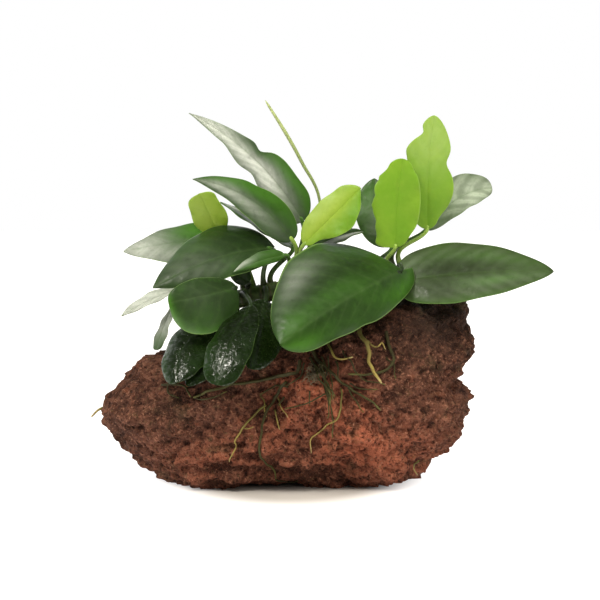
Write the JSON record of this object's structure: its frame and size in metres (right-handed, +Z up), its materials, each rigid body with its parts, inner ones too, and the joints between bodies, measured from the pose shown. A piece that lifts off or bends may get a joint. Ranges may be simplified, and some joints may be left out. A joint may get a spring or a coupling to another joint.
{
  "type": "anubias on stone",
  "caption": "Aquarium plant with leathery pointed oval leaves on short stalks, its creeping stem and roots gripping a lump of porous red lava rock.",
  "frame": {"origin": "on the surface that the stone stands on, under the middle of the whole plant's box", "axes": "+X along the stone, with the small pointed end of the stone at -X, +Y to the back, +Z up"},
  "size_m": [0.179, 0.089, 0.1508],
  "materials": {
    "lava_rock": "matte",
    "mature_leaf": "gloss",
    "young_leaf": "satin",
    "stalk": "satin",
    "creeping_stem": "matte",
    "green_root": "matte",
    "yellow_root": "matte"
  },
  "bodies": {
    "root": {"stone": "lava_rock", "rhizome": "creeping_stem", "leaf_01_blade": "mature_leaf", "leaf_01_stalk": "stalk", "leaf_02_blade": "mature_leaf", "leaf_02_stalk": "stalk", "leaf_03_blade": "mature_leaf", "leaf_03_stalk": "stalk", "leaf_04_blade": "mature_leaf", "leaf_04_stalk": "stalk", "leaf_05_blade": "mature_leaf", "leaf_05_stalk": "stalk", "leaf_06_blade": "mature_leaf", "leaf_06_stalk": "stalk", "leaf_07_blade": "mature_leaf", "leaf_07_stalk": "stalk", "leaf_08_blade": "mature_leaf", "leaf_08_stalk": "stalk", "leaf_09_blade": "young_leaf", "leaf_09_stalk": "stalk", "leaf_10_blade": "mature_leaf", "leaf_10_stalk": "stalk", "leaf_11_blade": "mature_leaf", "leaf_11_stalk": "stalk", "leaf_12_blade": "mature_leaf", "leaf_12_stalk": "stalk", "leaf_13_blade": "mature_leaf", "leaf_13_stalk": "stalk", "leaf_14_blade": "young_leaf", "leaf_14_stalk": "stalk", "leaf_15_blade": "mature_leaf", "leaf_15_stalk": "stalk", "leaf_16_blade": "mature_leaf", "leaf_16_stalk": "stalk", "leaf_17_blade": "mature_leaf", "leaf_17_stalk": "stalk", "leaf_18_blade": "mature_leaf", "leaf_18_stalk": "stalk", "leaf_19_blade": "young_leaf", "leaf_19_stalk": "stalk", "leaf_20_blade": "young_leaf", "leaf_20_stalk": "stalk", "leaf_21_blade": "mature_leaf", "leaf_21_stalk": "stalk", "leaf_22_blade": "mature_leaf", "leaf_22_stalk": "stalk", "leaf_23_blade": "mature_leaf", "leaf_23_stalk": "stalk", "leaf_spear": "young_leaf", "root_yellow_thick": "yellow_root", "root_right_loop": "green_root", "root_right_slant": "green_root", "root_yellow_bend": "yellow_root", "root_centre_down": "green_root", "root_left_run": "green_root", "root_fork_yellow": "yellow_root", "root_fork_dark": "green_root", "root_fork_pale": "yellow_root", "root_left_tip": "green_root", "root_short_yellow": "yellow_root"}
  },
  "joints": []
}
